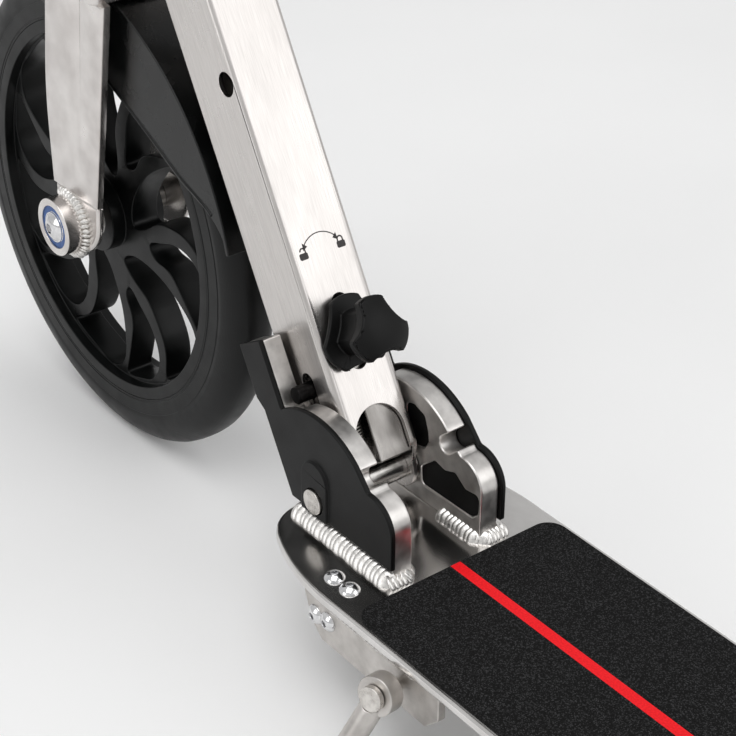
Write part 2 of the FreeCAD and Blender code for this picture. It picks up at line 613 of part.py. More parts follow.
# ---- fork -------------------------------------------------------------------------------
leg = prism((12.0, LEG_LOW), [(13.0, 67.0), (3.0, 133.0), (-48.0, 127.0), (-40.0, 83.0),
                               (-33.0, 43.0), (-28.0, LEG_LOW)], LEG_INNER, LEG_OUTER)
leg = moved(leg, FRONT)
crown = round_along(box(-22, 22, -CROWN_HALF, CROWN_HALF, CROWN_LOW, CROWN_TOP), (0, 0, 1), 6)
crown = in_column(crown.cut(rod((0, 0, 120), (0, 0, 1), COLUMN_R, 60)))
leg = leg.cut(crown)
parts["fork_legs"] = both_sides(leg)
parts["fork_crown"] = crown
dropout = prism((12.0, LEG_LOW), [(-28.0, LEG_LOW), (-27.0, 9.0), ((-19.5, -7.5), (-4.0, -14.0)),
                                  ((7.6, -10.4), (12.0, 0.0))], DROPOUT_INNER, DROPOUT_OUTER)
dropout = dropout.cut(across(0, 0, AXLE_R, 0, 40))
parts["fork_dropouts"] = moved(both_sides(dropout.removeSplitter()), FRONT)
weld = ring((0, DROPOUT_OUTER, 0), (0, 1, 0), BOSS_R + 2.6, BOSS_R, 2.6)
weld = weld.common(box(-26, 11.5, DROPOUT_OUTER, 33, -13.4, LEG_LOW))
parts["fork_welds"] = moved(both_sides(weld), FRONT)
boss = ring((0, DROPOUT_OUTER, 0), (0, 1, 0), BOSS_R, 11.0, 10)
boss = boss.fuse(ring((0, DROPOUT_OUTER, 0), (0, 1, 0), BOSS_R, AXLE_R, 2.5))
parts["axle_bosses"] = moved(both_sides(boss.removeSplitter()), FRONT)
seal = ring((0, DROPOUT_OUTER + 2.5, 0), (0, 1, 0), 11.0, AXLE_R, 6.5)
parts["boss_bearings"] = moved(both_sides(seal), FRONT)
parts["front_axle"] = moved(across(0, 0, AXLE_R, -37.0, 37.0), FRONT)
parts["front_axle_screws"] = moved(both_sides(axle_screw(37.0)), FRONT)
spacer = ring((0, 15.3, 0), (0, 1, 0), 7, AXLE_R, DROPOUT_INNER - 15.3)
parts["front_axle_spacers"] = moved(both_sides(spacer), FRONT)

fender_top = FRONT_FENDER_R + 2.5
fender = across(0, 0, fender_top, -19.5, 19.5).cut(across(0, 0, FRONT_FENDER_R, -20, 20))
fender = fender.common(polygon([(0, 0)] + [polar(220, a) for a in (62, 90, 120, 145, 166)],
                               -20, 20))
lip = [(131.0, 166.0), (126.0, 159.5), (106.7, 149.5), (94.7, 136.0), (88.0, 114.0),
       (94.0, 92.0), (110.0, 75.0), (130.0, 62.0)]
curve = Part.BSplineCurve()
curve.interpolate([vec(polar(r, a)[0], 17.3, polar(r, a)[1]) for r, a in lip])
first, last = polar(*lip[0]), polar(*lip[-1])
crest = polar(130.5, 112.5)
back = Part.Arc(vec(last[0], 17.3, last[1]), vec(crest[0], 17.3, crest[1]),
                vec(first[0], 17.3, first[1]))
side_face = Part.Face(Part.Wire([curve.toShape(), back.toShape()]))
side = side_face.extrude(vec(0, 2.2, 0))
fender = fender.fuse(side).fuse(mirrored(side))
parts["front_fender"] = moved(fender.removeSplitter(), FRONT).cut(crown)

# ---- steering column --------------------------------------------------------------------
column = ring((0, 0, CROWN_LOW + 0.2), (0, 0, 1), COLUMN_R, COLUMN_BORE,
              COLUMN_TOP - CROWN_LOW - 0.2)
parts["column_tube"] = in_column(column)
races = [ring((0, 0, CROWN_TOP), (0, 0, 1), 23, COLUMN_R, HEAD_LOW - 9.4 - CROWN_TOP),
         ring((0, 0, HEAD_TOP + 9.4), (0, 0, 1), 23, COLUMN_R, 14)]
parts["headset_races"] = in_column(Part.makeCompound(races))
collar = ring((0, 0, COLUMN_TOP - 24), (0, 0, 1), 21.5, COLUMN_R, 24)
collar = collar.fuse(ring((0, 0, COLUMN_TOP), (0, 0, 1), 21.5, STEM_R + GAP, 16))
ears = box(12, 36, -13, 13, COLUMN_TOP - 16, COLUMN_TOP + 8)
ears = ears.cut(rod((0, 0, COLUMN_TOP - 30), (0, 0, 1), 18, 60))
collar = collar.fuse(ears).cut(box(10, 40, -1.5, 1.5, COLUMN_TOP - 30, COLUMN_TOP + 20))
collar = collar.cut(across(27, COLUMN_TOP - 4, 3.0 + RUNNING, -30, 30))
parts["clamp_collar"] = in_column(collar.removeSplitter())
skewer = across(27, COLUMN_TOP - 4, 3.0, -20, 15.0)
skewer = skewer.fuse(across(27, COLUMN_TOP - 4, 6.5, -19.5, -13.2))
skewer = skewer.fuse(box(25, 29, 13.2, LEVER_AT[1], COLUMN_TOP - 10, COLUMN_TOP + 2))
skewer = skewer.fuse(rod((*LEVER_AT, COLUMN_TOP - 10), (0, 0, 1), 3.5, 12))
skewer = skewer.fuse(rod((LEVER_AT[0], LEVER_AT[1], COLUMN_TOP - 16.5), (0, 0, 1), 2.2, 25))
parts["clamp_skewer"] = in_column(skewer.removeSplitter())
fork_hub = []
for z0 in (COLUMN_TOP - 15, COLUMN_TOP + 2.4):
    fork_hub.append(rod((LEVER_AT[0], LEVER_AT[1], z0), (0, 0, 1), 6.0, 4.6))
lever_hub = fork_hub[0].fuse(fork_hub[1])
handle = box(-26, 27, 23.4, 28.4, COLUMN_TOP - 15, COLUMN_TOP + 7)
handle = round_along(handle, (0, 1, 0), 5)
web_low = box(21, 27, LEVER_AT[1], 28.4, COLUMN_TOP - 15, COLUMN_TOP - 10.4)
web_high = box(21, 27, LEVER_AT[1], 28.4, COLUMN_TOP + 2.4, COLUMN_TOP + 7)
lever = lever_hub.fuse(handle).fuse(web_low).fuse(web_high)
lever = lever.cut(rod((LEVER_AT[0], LEVER_AT[1], COLUMN_TOP - 20), (0, 0, 1), 2.2 + RUNNING, 40))
parts["clamp_lever"] = in_column(lever.removeSplitter())

stem = ring((0, 0, STEM_LOW), (0, 0, 1), STEM_R, STEM_BORE, STEM_TOP - STEM_LOW)
tee = rod((0, 0, BAR_HEIGHT - 34), (0, 0, 1), 18.0, 50).fuse(across(0, BAR_HEIGHT, 16.5, -46, 46))
tee = tee.cut(rod((0, 0, BAR_HEIGHT - 35), (0, 0, 1), STEM_R, STEM_TOP - BAR_HEIGHT + 35))
tee = tee.cut(across(0, BAR_HEIGHT, BAR_R, 15.5, 50)).cut(across(0, BAR_HEIGHT, BAR_R, -50, -15.5))
parts["stem_tube"] = in_column(stem)
parts["bar_tee"] = in_column(tee.removeSplitter())
bar = ring((0, 15.5, BAR_HEIGHT), (0, 1, 0), BAR_R, BAR_R - 2, BAR_HALF - 15.5)
button_hole = rod((0, BUTTON_Y, BAR_HEIGHT), (0, 0, 1), 3.0 + GAP, 30)
parts["bars"] = in_column(both_sides(bar.cut(button_hole)))
grip = ring((0, BAR_HALF - GRIP_LENGTH, BAR_HEIGHT), (0, 1, 0), GRIP_R, BAR_R, GRIP_LENGTH)
grip = grip.fuse(ring((0, BAR_HALF - GRIP_LENGTH, BAR_HEIGHT), (0, 1, 0), GRIP_R + 2.2, BAR_R, 4))
grip = grip.fuse(across(0, BAR_HEIGHT, GRIP_R, BAR_HALF, BAR_HALF + 4))
parts["grips"] = in_column(both_sides(grip.removeSplitter()))
parts["bar_tee"] = parts["bar_tee"].cut(in_column(both_sides(button_hole)))
button = rod((0, BUTTON_Y, BAR_HEIGHT + BAR_R - 5.5), (0, 0, 1), 3.0, 12.0)
parts["bar_button_left"] = in_column(button)
parts["bar_button_right"] = in_column(mirrored(button))

os.makedirs("parts", exist_ok=True)
for name, shape in parts.items():
    shape.exportStep("parts/" + name + ".step")
low, high = vec(1e9, 1e9, 1e9), vec(-1e9, -1e9, -1e9)
for shape in parts.values():
    b = shape.BoundBox
    low = vec(min(low.x, b.XMin), min(low.y, b.YMin), min(low.z, b.ZMin))
    high = vec(max(high.x, b.XMax), max(high.y, b.YMax), max(high.z, b.ZMax))
print(len(parts), "nodes", low, high)
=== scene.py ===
import bpy
import bmesh
import json
import math
from mathutils import Matrix, Vector

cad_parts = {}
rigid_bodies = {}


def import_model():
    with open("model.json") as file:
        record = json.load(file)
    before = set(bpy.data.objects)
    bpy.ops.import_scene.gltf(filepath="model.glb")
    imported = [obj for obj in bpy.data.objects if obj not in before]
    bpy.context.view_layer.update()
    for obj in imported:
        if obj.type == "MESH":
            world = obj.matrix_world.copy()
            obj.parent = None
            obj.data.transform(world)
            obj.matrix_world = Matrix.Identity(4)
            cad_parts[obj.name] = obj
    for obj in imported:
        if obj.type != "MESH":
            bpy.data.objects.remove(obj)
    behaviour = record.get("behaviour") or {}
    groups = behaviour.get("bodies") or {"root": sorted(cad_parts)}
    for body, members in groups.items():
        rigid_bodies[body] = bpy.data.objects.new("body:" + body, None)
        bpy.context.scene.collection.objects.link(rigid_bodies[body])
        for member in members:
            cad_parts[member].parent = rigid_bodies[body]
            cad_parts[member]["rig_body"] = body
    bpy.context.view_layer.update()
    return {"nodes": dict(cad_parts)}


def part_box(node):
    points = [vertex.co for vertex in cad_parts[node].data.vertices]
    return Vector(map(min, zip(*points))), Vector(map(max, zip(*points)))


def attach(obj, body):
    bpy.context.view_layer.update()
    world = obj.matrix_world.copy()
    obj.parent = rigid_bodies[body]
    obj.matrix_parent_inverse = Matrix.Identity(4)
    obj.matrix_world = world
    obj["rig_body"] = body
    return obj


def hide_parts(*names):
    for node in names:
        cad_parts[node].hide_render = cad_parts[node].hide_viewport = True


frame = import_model()
MM = 0.001

# ---- Deck ---------------------------------------------------------------------------------
# One extruded 6061 aluminium plate with two hollow rails under it, buffed to a mirror on top.
# Every other fixed part is welded or screwed to it.


def linear(code):
    """An sRGB hex colour as linear red, green, blue and alpha."""
    parts = [int(code[i:i + 2], 16) / 255 for i in (1, 3, 5)]
    return [c / 12.92 if c <= 0.04045 else ((c + 0.055) / 1.055) ** 2.4 for c in parts] + [1.0]


def add(tree, kind, links=(), **settings):
    """Adds a node: its settings by name, and its sockets as pairs of socket and value or source."""
    made = tree.nodes.new("ShaderNode" + kind)
    for name, value in settings.items():
        setattr(made, name, value)
    for socket, value in links:
        if isinstance(value, bpy.types.NodeSocket):
            tree.links.new(value, made.inputs[socket])
        else:
            made.inputs[socket].default_value = value
    return made


def surface(name, colour, metallic, roughness, **sockets):
    """A new material with its shader's constants set: the material, its tree and its shader."""
    material = bpy.data.materials.new(name)
    material.use_nodes = True
    tree = material.node_tree
    shader = tree.nodes["Principled BSDF"]
    shader.inputs["Base Color"].default_value = linear(colour)
    shader.inputs["Metallic"].default_value = metallic
    shader.inputs["Roughness"].default_value = roughness
    for socket, value in sockets.items():
        shader.inputs[socket.replace("_", " ")].default_value = value
    return material, tree, shader


def grain(tree, size, turn=(0, 0, 0), at=(0, 0, 0), detail=3.0):
    """Noise whose grain has a real size in metres along each axis of a turned frame."""
    place = add(tree, "TexCoord")
    fit = add(tree, "Mapping", [("Vector", place.outputs["Object"]), ("Location", at),
                                ("Rotation", turn), ("Scale", size)], vector_type="TEXTURE")
    return add(tree, "TexNoise", [("Vector", fit.outputs[0]), ("Scale", 1.0), ("Detail", detail)])


def spread(tree, source, low, high, a=0.3, b=0.7):
    """A texture's middle range stretched between two values."""
    return add(tree, "MapRange", [("Value", source), ("From Min", a), ("From Max", b),
                                  ("To Min", low), ("To Max", high)]).outputs[0]


def tint(tree, shader, source, dark, light, a=0.35, b=0.65):
    """Colours a shader between two hex colours by a texture."""
    share = spread(tree, source, 0.0, 1.0, a, b)
    mix = add(tree, "Mix", [(0, share), (6, linear(dark)), (7, linear(light))], data_type="RGBA")
    tree.links.new(mix.outputs[2], shader.inputs["Base Color"])


def roughen(tree, shader, source, low, high):
    """Varies a shader's roughness between two values by a texture."""
    tree.links.new(spread(tree, source, low, high), shader.inputs["Roughness"])


def relief(tree, shader, source, depth, strength=1.0):
    """Raises a surface by a texture, by a real depth in metres."""
    bump = add(tree, "Bump", [("Height", source), ("Distance", depth), ("Strength", strength)])
    tree.links.new(bump.outputs[0], shader.inputs["Normal"])


def copy_of(node, joined_up=True):
    """A CAD node's mesh with its loose triangles merged and its flat faces joined."""
    bm = bmesh.new()
    bm.from_mesh(frame["nodes"][node].data)
    bmesh.ops.remove_doubles(bm, verts=bm.verts, dist=0.004 * MM)
    if joined_up:
        bmesh.ops.dissolve_limit(bm, angle_limit=math.radians(0.4), verts=bm.verts, edges=bm.edges)
    return bm


def settle(bm, name, body, material, stands_for=(), ease=0.0, rounds=2, sharp=32):
    """The finished object of a bmesh: shading, eased edges, material and body."""
    for face in bm.faces:
        face.smooth = True
    for edge in bm.edges:
        edge.smooth = ease > 0 or edge.calc_face_angle(0.0) < math.radians(sharp)
    mesh = bpy.data.meshes.new(name)
    bm.to_mesh(mesh)
    bm.free()
    mesh.materials.append(material)
    made = bpy.data.objects.new(name, mesh)
    bpy.context.scene.collection.objects.link(made)
    if ease:
        bevel = made.modifiers.new("eased edges", "BEVEL")
        bevel.width = ease * MM
        bevel.segments = rounds
        bevel.limit_method = "ANGLE"
        bevel.angle_limit = math.radians(sharp)
        bevel.use_clamp_overlap = False
        bevel.miter_outer = "MITER_ARC"
        even = made.modifiers.new("even shading", "WEIGHTED_NORMAL")
        even.keep_sharp = True
    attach(made, body)
    if stands_for:
        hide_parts(*stands_for)
    return made


def eased(node, material, ease=0.0, rounds=2, sharp=32, joined_up=True):
    """A CAD node's own shape with its edges eased by a small radius."""
    body = frame["nodes"][node]["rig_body"]
    bm = copy_of(node, joined_up)
    return settle(bm, node + "_finished", body, material, [node], ease, rounds, sharp)


# Buffed aluminium: a mirror with a slight haze, and hairlines along the extrusion. The hairlines
# are really 0.05 mm apart, and drawn 0.3 mm apart so that they show.
buffed, tree, shader = surface("buffed_aluminium", "#DAD8D5", 1.0, 0.16)
hairs = grain(tree, (30 * MM, 0.3 * MM, 0.3 * MM))
haze = grain(tree, (25 * MM, 18 * MM, 25 * MM))
roughen(tree, shader, haze.outputs[0], 0.11, 0.2)
tint(tree, shader, haze.outputs[0], "#CFCDCB", "#E2E0DE")
relief(tree, shader, hairs.outputs[0], 0.004 * MM)

eased("deck_plate", buffed)

# ---- Grip tape ------------------------------------------------------------------------------
# Silicon carbide grit on black polyester tape, 80 grit, with a strip of red vinyl let in
# along the middle. Both are stuck to the deck.

# Grit: 0.2 mm grains, drawn 0.45 mm so that they show, with a few painted lighter as painted
# glints.
gritty, tree, shader = surface("silicon_carbide_tape", "#0C0C0C", 0.0, 0.8,
                                Specular_IOR_Level=0.15)
place = add(tree, "TexCoord")
grit_at = add(tree, "Mapping", [("Vector", place.outputs["Object"]),
                                ("Scale", (0.45 * MM,) * 3)], vector_type="TEXTURE")
grains = add(tree, "TexVoronoi", [("Vector", grit_at.outputs[0]), ("Scale", 1.0)])
clumps = grain(tree, (1.1 * MM, 1.1 * MM, 1.1 * MM))
rise = add(tree, "Math", [(0, grains.outputs["Distance"]), (1, clumps.outputs[0])],
           operation="MULTIPLY")
relief(tree, shader, rise.outputs[0], 0.25 * MM, 0.9)
bright = add(tree, "SeparateColor", [(0, grains.outputs["Color"])])
tint(tree, shader, bright.outputs[0], "#0B0B0B", "#3A3A3B", 0.66, 1.0)
eased("grip_tape", gritty)

# Vinyl: an even strong red, semi-matt, with a faint orange peel from the roller.
vinyl, tree, shader = surface("red_vinyl", "#E0121A", 0.0, 0.42, Specular_IOR_Level=0.2)
peel = grain(tree, (0.9 * MM,) * 3)
tint(tree, shader, peel.outputs[0], "#DD1019", "#F01A23")
relief(tree, shader, peel.outputs[0], 0.01 * MM)
eased("tape_stripe", vinyl)

# ---- Cheeks ---------------------------------------------------------------------------------
# Two 10 mm aluminium side plates, milled, tumbled and polished, welded to the deck. The neck
# turns between them, and the lock pin drops into a slot in their round edge.

# Tumbled and polished aluminium: soft bright reflections, fine cross-lines from the belt.
belted, tree, shader = surface("belt_polished_aluminium", "#D9D6D3", 1.0, 0.2)
lines = grain(tree, (0.25 * MM, 14 * MM, 0.25 * MM))
patches = grain(tree, (7 * MM, 7 * MM, 7 * MM))
roughen(tree, shader, patches.outputs[0], 0.3, 0.42)
tint(tree, shader, patches.outputs[0], "#CBC8C5", "#E4E1DE")
relief(tree, shader, lines.outputs[0], 0.006 * MM)
eased("cheeks", belted, 0.9, 3)

# The stop is as it came from the saw: a dull, speckled face.
sawn, tree, shader = surface("sawn_aluminium", "#C9C6C2", 1.0, 0.34)
speckle = grain(tree, (0.5 * MM,) * 3, detail=5.0)
tint(tree, shader, speckle.outputs[0], "#A9A5A1", "#E4E1DD", 0.4, 0.6)
relief(tree, shader, speckle.outputs[0], 0.03 * MM)
eased("front_stop", sawn, 0.4)

# ---- Cheek covers ---------------------------------------------------------------------------
# Injection-moulded black polypropylene, clipped over the cheeks' outer faces, with a raised
# arch round the pivot bolt and a thin raised rim.

# Spark-eroded mould finish: satin black, 0.3 mm grain.
moulded, tree, shader = surface("moulded_polypropylene", "#070707", 0.0, 0.42,
                                Specular_IOR_Level=0.2)
erode = grain(tree, (0.3 * MM,) * 3, detail=4.0)
sheen = grain(tree, (14 * MM,) * 3)
tint(tree, shader, sheen.outputs[0], "#060606", "#0A0A0A")
roughen(tree, shader, sheen.outputs[0], 0.38, 0.5)
relief(tree, shader, erode.outputs[0], 0.015 * MM)
eased("cheek_covers", moulded, 0.7, 3)


def joined(bm, other):
    """Moves one bmesh's contents into another."""
    spare = bpy.data.meshes.new("spare")
    other.to_mesh(spare)
    other.free()
    bm.from_mesh(spare)
    bpy.data.meshes.remove(spare)


def slab(origin, outline, thick):
    """A plate with an (x, z) outline about an origin, raised along y. Sizes in millimetres."""
    bm = bmesh.new()
    face = bm.faces.new([bm.verts.new(origin + Vector((x, 0, z)) * MM) for x, z in outline])
    out = bmesh.ops.extrude_face_region(bm, geom=[face])
    raised = [v for v in out["geom"] if isinstance(v, bmesh.types.BMVert)]
    bmesh.ops.translate(bm, verts=raised, vec=(0, thick * MM, 0))
    bmesh.ops.recalc_face_normals(bm, faces=bm.faces)
    return bm


def rounded(bm, edges, radius, segments):
    """Rounds some edges of a bmesh."""
    bmesh.ops.bevel(bm, geom=edges, offset=radius * MM, affect="EDGES", segments=segments,
                    profile=0.5, material=-1)


def across(bm):
    """The edges of a slab that run along y, through its thickness."""
    return [e for e in bm.edges if abs(e.verts[0].co.y - e.verts[1].co.y) > 3 * MM]


# Black plugs of the covers' plastic fill the two pockets in each cheek's inner face to just under
# it, so that the pockets show black.
POCKET_FLOOR = 26.9
PLUG_HEIGHT = 6.9
pivot = (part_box("pivot_bolt")[0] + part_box("pivot_bolt")[1]) / 2
pockets = ([(-10.2, 2.4), (-19.3, 10.4), (-26.4, 8.8), (-33.3, 11.3), (-40.5, 6.4), (-49.4, 7.5),
            (-49.2, -2.0), (-45.0, -5.6), (-11.0, -6.4)],
           [(0.8, 31.0), (-4.4, 32.3), (-11.6, 30.0), (-14.0, 23.2), (-14.7, 18.2), (-12.1, 13.4),
            (-4.0, 11.5), (0.8, 13.0)])
pocket_plugs = bmesh.new()
for side in (1, -1):
    for outline in pockets:
        floor = pivot + Vector((0, side * POCKET_FLOOR * MM, 0))
        boss = slab(floor, outline, -side * PLUG_HEIGHT)
        rounded(boss, across(boss), 2.1, 4)
        joined(pocket_plugs, boss)
settle(pocket_plugs, "cheek_pocket_plugs", "root", moulded)

# ---- Pivot bolt -----------------------------------------------------------------------------
# A turned and zinc-plated steel shoulder bolt with a flat blind head, and a nut like it.

zinc, tree, shader = surface("zinc_plated_steel", "#CFCBC6", 1.0, 0.3)
turning = grain(tree, (3 * MM, 3 * MM, 3 * MM))
tint(tree, shader, turning.outputs[0], "#BDB9B4", "#DDD9D4")
roughen(tree, shader, turning.outputs[0], 0.24, 0.36)
relief(tree, shader, grain(tree, (0.3 * MM,) * 3).outputs[0], 0.006 * MM)
eased("pivot_bolt", zinc, 0.35)

# ---- Deck welds -----------------------------------------------------------------------------
# TIG beads of filler aluminium: one long fillet outside each cheek, short ones round its heel
# and inside it, and one under the deck's edge at the kickstand bracket. Each dab of filler
# freezes as a leaning disc on the one before.

weld_alloy, tree, shader = surface("tig_weld_aluminium", "#D5D3D0", 1.0, 0.3)
slag = grain(tree, (0.9 * MM,) * 3, detail=4.0)
tint(tree, shader, slag.outputs[0], "#C6C3C0", "#E8E6E3", 0.3, 0.6)
roughen(tree, shader, slag.outputs[0], 0.26, 0.36)
relief(tree, shader, slag.outputs[0], 0.012 * MM)


def dabs(bm, start, end, outward, radius, pitch, lean=46.0, thick=0.34):
    """A row of leaning discs of filler from start to end, standing out of a corner."""
    start, end = Vector(start) * MM, Vector(end) * MM
    along = (end - start).normalized()
    out = Vector(outward).normalized()
    out = (out - along * out.dot(along)).normalized()
    aside = along.cross(out)
    count = max(2, round((end - start).length / (pitch * MM)) + 1)
    tilt = math.radians(lean)
    normal = along * math.cos(tilt) + out * math.sin(tilt)
    up = out * math.cos(tilt) - along * math.sin(tilt)
    for i in range(count):
        wobble = 1.0 + 0.035 * math.sin(2.4 * i) + 0.025 * math.sin(5.1 * i + 1.0)
        size = radius * MM * wobble
        axes = Matrix((normal * size * thick, aside * size, up * size)).transposed().to_4x4()
        place = Matrix.Translation(start.lerp(end, i / (count - 1)))
        bmesh.ops.create_uvsphere(bm, u_segments=24, v_segments=12, radius=1.0,
                                  matrix=place @ axes)


def trimmed(bm, point, keep):
    """Cuts a bead off flat where it would go into a plate, and closes the cut."""
    everything = bm.verts[:] + bm.edges[:] + bm.faces[:]
    bmesh.ops.bisect_plane(bm, geom=everything, plane_co=Vector(point) * MM, plane_no=keep,
                           clear_inner=True)
    bmesh.ops.holes_fill(bm, edges=[e for e in bm.edges if e.is_boundary], sides=0)


deck_low, deck_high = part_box("tape_stripe")
deck_top = deck_low.z / MM
cheek_low, cheek_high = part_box("cheeks")
cheek_out = cheek_high.y / MM
cheek_in = cheek_out - 10.1
heel = cheek_low.x / MM
toe = heel + 61.0
beads = bmesh.new()
for side in (1, -1):
    outer = bmesh.new()
    dabs(outer, (toe, side * cheek_out, deck_top), (heel - 1, side * cheek_out, deck_top),
         (0, side, 1), 7.4, 2.85)
    trimmed(outer, (0, 0, deck_top - 0.2), (0, 0, 1))
    trimmed(outer, (0, side * (cheek_out - 0.3), 0), (0, side, 0))
    joined(beads, outer)
    back = bmesh.new()
    dabs(back, (heel, side * cheek_out, deck_top),
         (heel - 0.5, side * (cheek_in + 1), deck_top), (-1, 0, 1), 5.2, 2.4)
    dabs(back, (heel, side * (cheek_in + 3), deck_top),
         (heel + 4, side * (cheek_in - 1.0), deck_top), (-1, -side, 1), 4.6, 2.2)
    trimmed(back, (0, 0, deck_top - 0.2), (0, 0, 1))
    joined(beads, back)
    inner = bmesh.new()
    dabs(inner, (heel + 22, side * cheek_in, deck_top), (heel + 1, side * cheek_in, deck_top),
         (0, -side, 1), 5.3, 2.5)
    trimmed(inner, (0, 0, deck_top - 0.2), (0, 0, 1))
    trimmed(inner, (0, side * (cheek_in + 0.3), 0), (0, -side, 0))
    joined(beads, inner)
skirt_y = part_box("kickstand_bracket")[1].y / MM
under = deck_top - 5.0
edge_bead = bmesh.new()
dabs(edge_bead, (116, skirt_y, under), (64, skirt_y, under), (0, 1, -1), 4.9, 2.7)
trimmed(edge_bead, (0, 0, under + 0.2), (0, 0, -1))
trimmed(edge_bead, (0, skirt_y - 0.3, 0), (0, 1, 0))
joined(beads, edge_bead)
settle(beads, "deck_weld_beads", "root", weld_alloy, ["deck_welds"], sharp=50)

# ---- Screws ---------------------------------------------------------------------------------
# Chromed steel socket screws with domed heads: two down through the deck, two in the bracket.

chrome, tree, shader = surface("chromed_steel", "#DCDCDD", 1.0, 0.06)
film = grain(tree, (2 * MM,) * 3)
roughen(tree, shader, film.outputs[0], 0.04, 0.1)
tint(tree, shader, film.outputs[0], "#D2D2D4", "#E6E6E6")
for node in ("rear_axle_screws", "front_axle_screws"):
    eased(node, chrome)


def ringed(bm, rings):
    """Skins a row of closed rings of points, and closes both ends."""
    rows = [[bm.verts.new(point) for point in ring] for ring in rings]
    for low, high in zip(rows, rows[1:]):
        for i in range(len(low)):
            j = (i + 1) % len(low)
            bm.faces.new((low[i], low[j], high[j], high[i]))
    bm.faces.new(rows[0])
    bm.faces.new(rows[-1])
    bmesh.ops.recalc_face_normals(bm, faces=bm.faces)


def domed(bm, place):
    """A domed screw head with a hexagon socket, standing on the XY plane of a placement."""
    turn = [math.radians(t) for t in range(0, 360, 6)]
    flats = [math.cos(math.radians(t % 60 - 30)) for t in range(0, 360, 6)]
    dome = [(r, math.sqrt(DOME_R ** 2 - r ** 2) - 2.6) for r in (4.7, 4.4, 4.0, 3.5, 3.0, 2.5, 2.1)]
    rings = [[(r, z, t) for t in turn] for r, z in [(4.75, -0.1), (4.75, 0.25)] + dome]
    for half_flats, z in ((1.62, 2.7), (1.52, 2.55), (1.52, 1.0)):
        rings.append([(half_flats / flat, z, t) for flat, t in zip(flats, turn)])
    one = bmesh.new()
    ringed(one, [[place @ (Vector((r * math.cos(t), r * math.sin(t), z)) * MM) for r, z, t in ring]
                 for ring in rings])
    joined(bm, one)


DOME_R = 5.6
DECK_SCREW_Y = 46.4
heads = bmesh.new()
for x in (131.0, 120.4):
    domed(heads, Matrix.Translation(Vector((x, DECK_SCREW_Y, deck_top)) * MM))
for x, z in ((134.3, 41.2), (125.5, 42.6)):
    sideways = Matrix.Rotation(-math.pi / 2, 4, "X")
    domed(heads, Matrix.Translation(Vector((x, skirt_y, z)) * MM) @ sideways)
settle(heads, "dome_screw_heads", "root", chrome, ["dome_screws"], sharp=35)

# ---- Kickstand ------------------------------------------------------------------------------
# A pressed aluminium bracket under the deck's left edge, a forged leg on a steel bolt and a
# rubber foot pushed over the leg's end.

# Vibrated satin aluminium: even, dull, a little darker than the polished parts.
satin, tree, shader = surface("satin_aluminium", "#C4C0BC", 1.0, 0.36)
media = grain(tree, (0.6 * MM,) * 3, detail=4.0)
tint(tree, shader, grain(tree, (9 * MM,) * 3).outputs[0], "#B8B4B0", "#CFCBC7")
roughen(tree, shader, media.outputs[0], 0.3, 0.42)
relief(tree, shader, media.outputs[0], 0.01 * MM)
eased("kickstand_bracket", satin, 0.6)
eased("kickstand_leg", satin, 0.5)
eased("kickstand_bolt", zinc, 0.4)

# Moulded rubber: soft black, matt, with a faint bloom.
soft_black, tree, shader = surface("moulded_rubber", "#0E0E0E", 0.0, 0.72, Specular_IOR_Level=0.2)
bloom = grain(tree, (2.5 * MM,) * 3, detail=4.0)
tint(tree, shader, bloom.outputs[0], "#0B0B0B", "#141414")
relief(tree, shader, grain(tree, (0.35 * MM,) * 3).outputs[0], 0.02 * MM)
eased("kickstand_foot", soft_black)

# ---- Rear end -------------------------------------------------------------------------------
# Two 6 mm aluminium plates inside the deck's rails carry the rear axle, and the brake's hinge
# pin with its two torsion springs.

# Belt-brushed plate, with its lines along the scooter, 0.05 mm apart and drawn 0.3 mm apart.
brushed_plate, tree, shader = surface("brushed_plate_aluminium", "#CBC8C4", 1.0, 0.3)
strokes = grain(tree, (18 * MM, 0.3 * MM, 0.3 * MM))
tint(tree, shader, strokes.outputs[0], "#BAB6B2", "#DAD7D3")
roughen(tree, shader, strokes.outputs[0], 0.24, 0.38)
relief(tree, shader, strokes.outputs[0], 0.006 * MM)
eased("rear_plates", brushed_plate, 0.6)
for node in ("rear_axle", "brake_hinge_pin", "front_axle"):
    eased(node, zinc, 0.4)
for node in ("rear_axle_spacers", "front_axle_spacers"):
    eased(node, satin, 0.3)

# Spring wire: patented steel, drawn and oiled, darker than plate.
wire_steel, tree, shader = surface("oiled_spring_steel", "#8F8C88", 1.0, 0.28)
drawn = grain(tree, (0.6 * MM,) * 3)
tint(tree, shader, drawn.outputs[0], "#7C7975", "#A5A29D")
relief(tree, shader, drawn.outputs[0], 0.01 * MM)


def coil(bm, centre, axis, radius, wire, pitch, turns):
    """A close-wound coil: a round section screwed about an axis, from its first end."""
    axis = Vector(axis).normalized()
    aside = axis.orthogonal().normalized()
    first = Vector(centre) + aside * radius
    turn = Matrix((aside, axis, aside.cross(axis))).transposed().to_4x4()
    section = bmesh.ops.create_circle(bm, segments=8, radius=wire / 2,
                                      matrix=Matrix.Translation(first) @ turn)
    edges = list({e for v in section["verts"] for e in v.link_edges})
    steps = round(turns * 22)
    bmesh.ops.spin(bm, geom=section["verts"] + edges, cent=centre, axis=axis,
                   dvec=axis * (pitch * turns / steps), angle=turns * 2 * math.pi, steps=steps)
    bmesh.ops.holes_fill(bm, edges=[e for e in bm.edges if e.is_boundary], sides=0)
    bmesh.ops.recalc_face_normals(bm, faces=bm.faces)


spring_low, spring_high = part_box("brake_springs")
hinge = (spring_low + spring_high) / 2
springs = bmesh.new()
for y in (13.1, -17.7):
    one = bmesh.new()
    coil(one, (hinge.x, y * MM, hinge.z), (0, 1, 0), 4.1 * MM, 1.4 * MM, 1.5 * MM, 3)
    joined(springs, one)
settle(springs, "brake_spring_coils", "root", wire_steel, ["brake_springs"],
       sharp=60)

